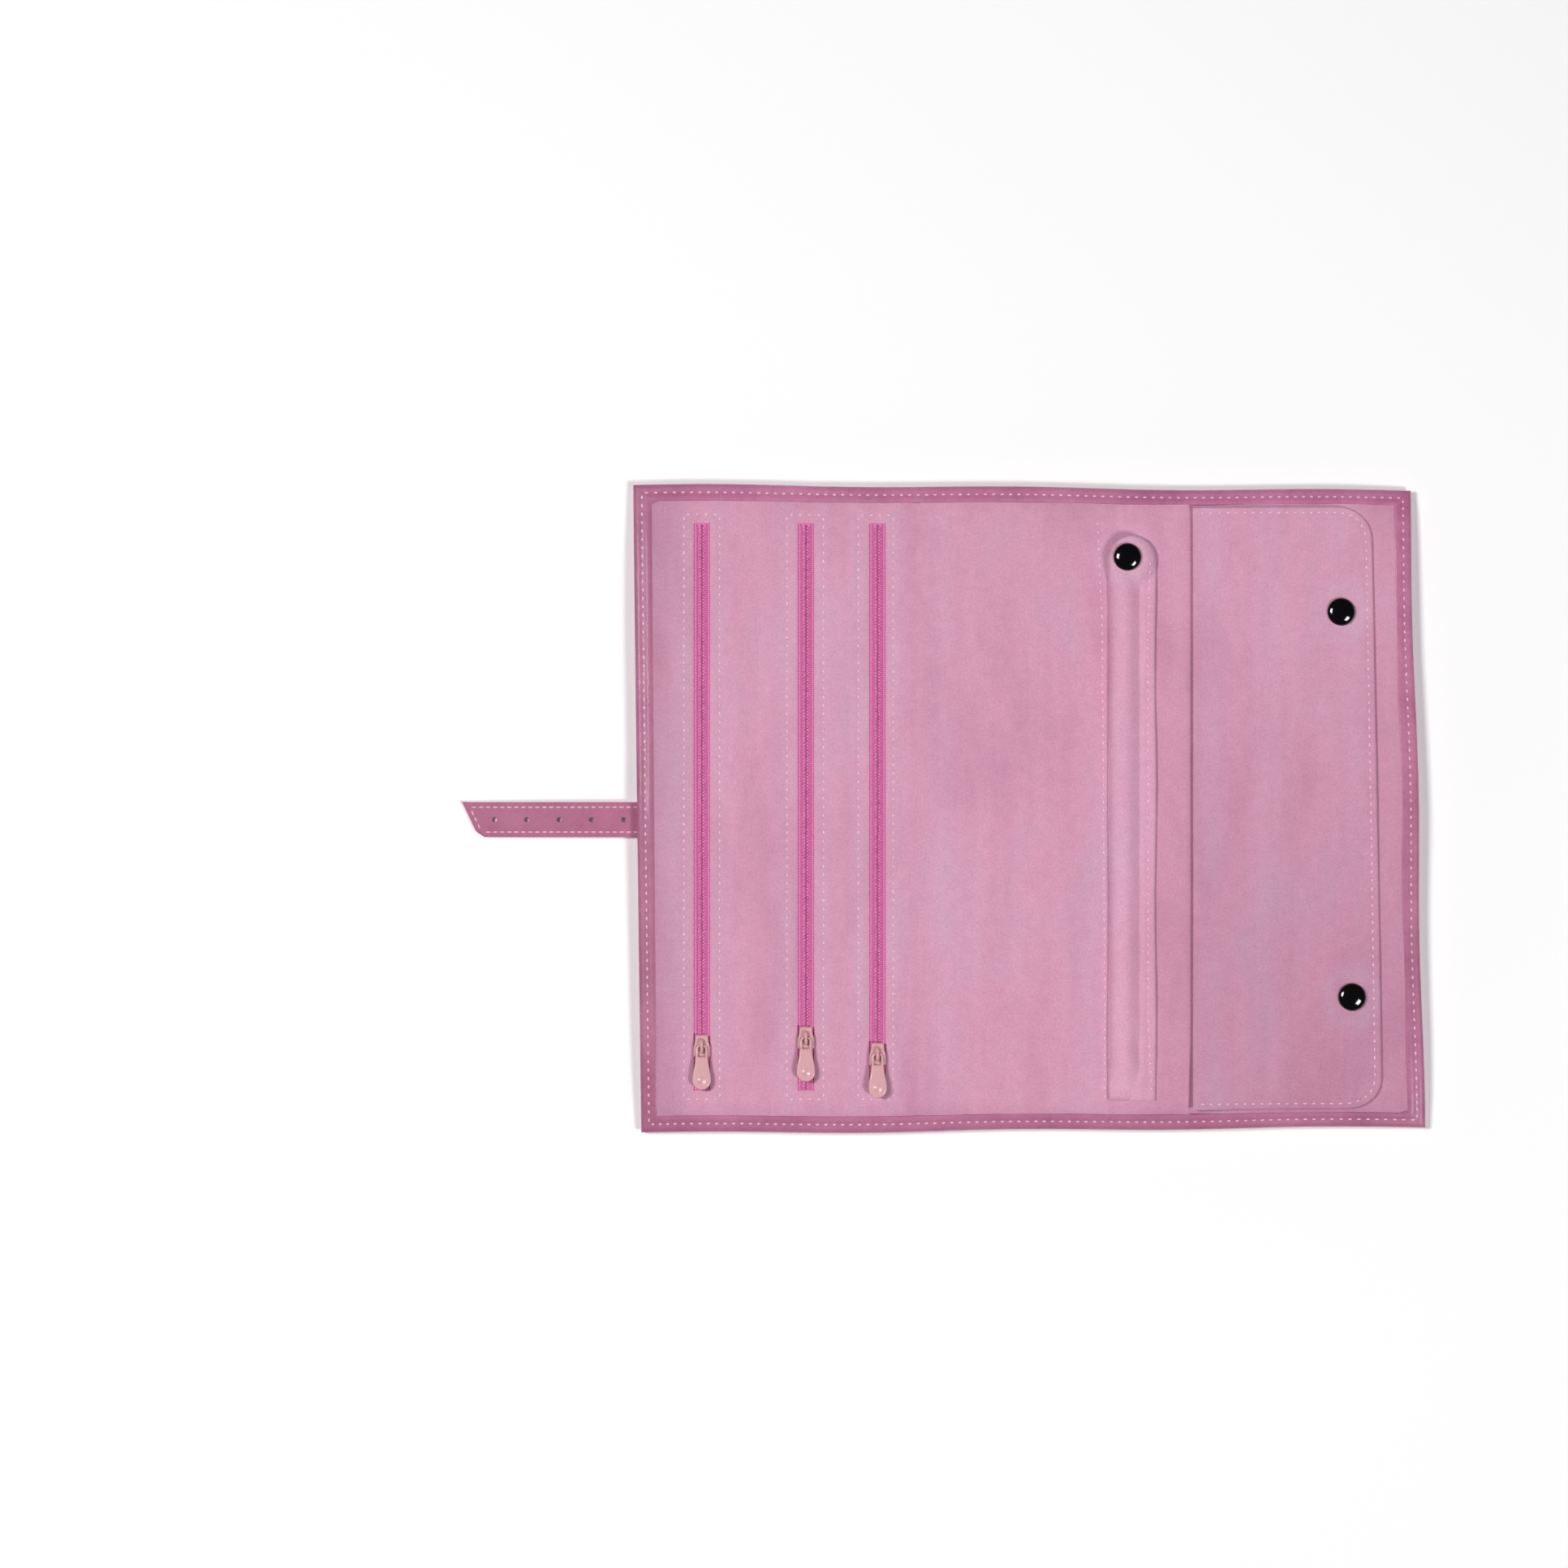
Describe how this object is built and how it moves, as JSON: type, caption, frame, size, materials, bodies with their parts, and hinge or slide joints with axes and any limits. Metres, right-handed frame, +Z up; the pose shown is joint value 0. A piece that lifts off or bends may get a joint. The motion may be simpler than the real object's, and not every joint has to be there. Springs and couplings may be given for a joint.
{
  "type": "travel jewelry case",
  "caption": "Soft leather roll-up case for jewellery with zip pockets, a snap-held ring bar, a snapped flap and a belt with a buckle, lying open.",
  "frame": {"origin": "middle of the object's footprint, on the surface it lies on", "axes": "+X across the open case from the belt's tongue to the free inner edge, +Y along the panels towards the ring bar's snap, +Z up out of the lining"},
  "size_m": [0.354, 0.24, 0.0186],
  "materials": {
    "outer_leather": "smooth lightly grained pink leather, satin",
    "suede": "dusty pink suede, fine short nap",
    "backing_cloth": "plain cotton pocket cloth",
    "strap_leather": "smooth stitched strap leather, satin",
    "zip_tape": "woven magenta zip tape",
    "zip_coil": "nylon coil teeth",
    "pull_metal": "salmon painted zinc, satin",
    "black_enamel": "glossy black enamelled snap caps",
    "snap_steel": "plated snap sockets and studs",
    "buckle_chrome": "polished chrome plate"
  },
  "bodies": {
    "back_panel": {"back_cover": "outer_leather", "back_backing": "backing_cloth", "back_lining": "suede", "ring_bar_stud": "snap_steel", "belt_back": "strap_leather"},
    "front_spine": {"front_spine_cover": "outer_leather", "front_spine_backing": "backing_cloth", "front_spine_lining": "suede", "zip_3_tape": "zip_tape", "zip_3_coil": "zip_coil", "belt_front_side": "strap_leather"},
    "front_panel": {"front_cover": "outer_leather", "front_backing": "backing_cloth", "front_lining": "suede", "zip_1_tape": "zip_tape", "zip_1_coil": "zip_coil", "zip_2_tape": "zip_tape", "zip_2_coil": "zip_coil", "belt_tongue": "strap_leather"},
    "tongue_end": {"belt_tongue_end": "strap_leather"},
    "zip_1_slider": {"zip_1_slider": "pull_metal"},
    "zip_1_pull": {"zip_1_pull": "pull_metal"},
    "zip_2_slider": {"zip_2_slider": "pull_metal"},
    "zip_2_pull": {"zip_2_pull": "pull_metal"},
    "zip_3_slider": {"zip_3_slider": "pull_metal"},
    "zip_3_pull": {"zip_3_pull": "pull_metal"},
    "inner_spine": {"inner_spine_cover": "outer_leather", "inner_spine_backing": "backing_cloth", "inner_spine_lining": "suede"},
    "inner_panel": {"inner_cover": "outer_leather", "inner_backing": "backing_cloth", "inner_lining": "suede", "flap_stud_top": "snap_steel", "flap_stud_bottom": "snap_steel"},
    "flap": {"flap": "suede", "flap_cap_top": "black_enamel", "flap_cap_bottom": "black_enamel", "flap_socket_top": "snap_steel", "flap_socket_bottom": "snap_steel"},
    "ring_bar": {"ring_bar": "suede", "ring_bar_cap": "black_enamel", "ring_bar_socket": "snap_steel"},
    "belt_side": {"belt_side": "strap_leather"},
    "buckle": {"belt_chape": "strap_leather", "buckle_frame": "buckle_chrome"},
    "prong": {"buckle_prong": "buckle_chrome"}
  },
  "joints": [
    {"name": "front_fold", "type": "hinge", "parent": "back_panel", "child": "front_spine", "pos_m": [-0.0085, 0, 0.011], "axis": [0, 1, 0], "range_deg": [0, 90]},
    {"name": "front_turn", "type": "hinge", "parent": "front_spine", "child": "front_panel", "pos_m": [-0.0315, 0, 0.011], "axis": [0, 1, 0], "range_deg": [0, 90]},
    {"name": "tongue_flex", "type": "hinge", "parent": "front_panel", "child": "tongue_end", "pos_m": [-0.116, -0.004, 0.0033], "axis": [0, -1, 0], "range_deg": [-100, 0]},
    {"name": "inner_fold", "type": "hinge", "parent": "back_panel", "child": "inner_spine", "pos_m": [0.0806, 0, 0.011], "axis": [0, -1, 0], "range_deg": [0, 90]},
    {"name": "inner_turn", "type": "hinge", "parent": "inner_spine", "child": "inner_panel", "pos_m": [0.0926, 0, 0.011], "axis": [0, -1, 0], "range_deg": [0, 90]},
    {"name": "flap_open", "type": "hinge", "parent": "inner_panel", "child": "flap", "pos_m": [0.0936, 0, 0.0118], "axis": [0, 1, 0], "range_deg": [-95, 0]},
    {"name": "ring_bar_lift", "type": "hinge", "parent": "back_panel", "child": "ring_bar", "pos_m": [0.0691, -0.108, 0.0111], "axis": [-1, 0, 0], "range_deg": [-50, 0]},
    {"name": "belt_side_wrap", "type": "hinge", "parent": "back_panel", "child": "belt_side", "pos_m": [0.0806, -0.004, 0.011], "axis": [0, -1, 0], "range_deg": [0, 90]},
    {"name": "belt_top_wrap", "type": "hinge", "parent": "belt_side", "child": "buckle", "pos_m": [0.1036, -0.004, 0.011], "axis": [0, -1, 0], "range_deg": [0, 90]},
    {"name": "prong_swing", "type": "hinge", "parent": "buckle", "child": "prong", "pos_m": [0.1552, -0.004, 0.00535], "axis": [0, -1, 0], "range_deg": [-120, 0]},
    {"name": "zip_1_slide", "type": "slide", "parent": "front_panel", "child": "zip_1_slider", "axis": [0, 1, 0], "range_m": [0, 0.1866]},
    {"name": "zip_1_flip", "type": "hinge", "parent": "zip_1_slider", "child": "zip_1_pull", "pos_m": [-0.088, -0.0876, 0.01275], "axis": [1, 0, 0], "range_deg": [-170, 0]},
    {"name": "zip_2_slide", "type": "slide", "parent": "front_panel", "child": "zip_2_slider", "axis": [0, 1, 0], "range_m": [0, 0.1836]},
    {"name": "zip_2_flip", "type": "hinge", "parent": "zip_2_slider", "child": "zip_2_pull", "pos_m": [-0.0495, -0.0846, 0.01275], "axis": [1, 0, 0], "range_deg": [-170, 0]},
    {"name": "zip_3_slide", "type": "slide", "parent": "front_spine", "child": "zip_3_slider", "axis": [0, 1, 0], "range_m": [0, 0.1896]},
    {"name": "zip_3_flip", "type": "hinge", "parent": "zip_3_slider", "child": "zip_3_pull", "pos_m": [-0.023, -0.0906, 0.01275], "axis": [1, 0, 0], "range_deg": [-170, 0]}
  ],
  "couplings": [
    {"joint": "front_turn", "follows": "front_fold", "ratio": 1},
    {"joint": "inner_turn", "follows": "inner_fold", "ratio": 1},
    {"joint": "belt_side_wrap", "follows": "inner_fold", "ratio": 1},
    {"joint": "belt_top_wrap", "follows": "inner_fold", "ratio": 1}
  ]
}
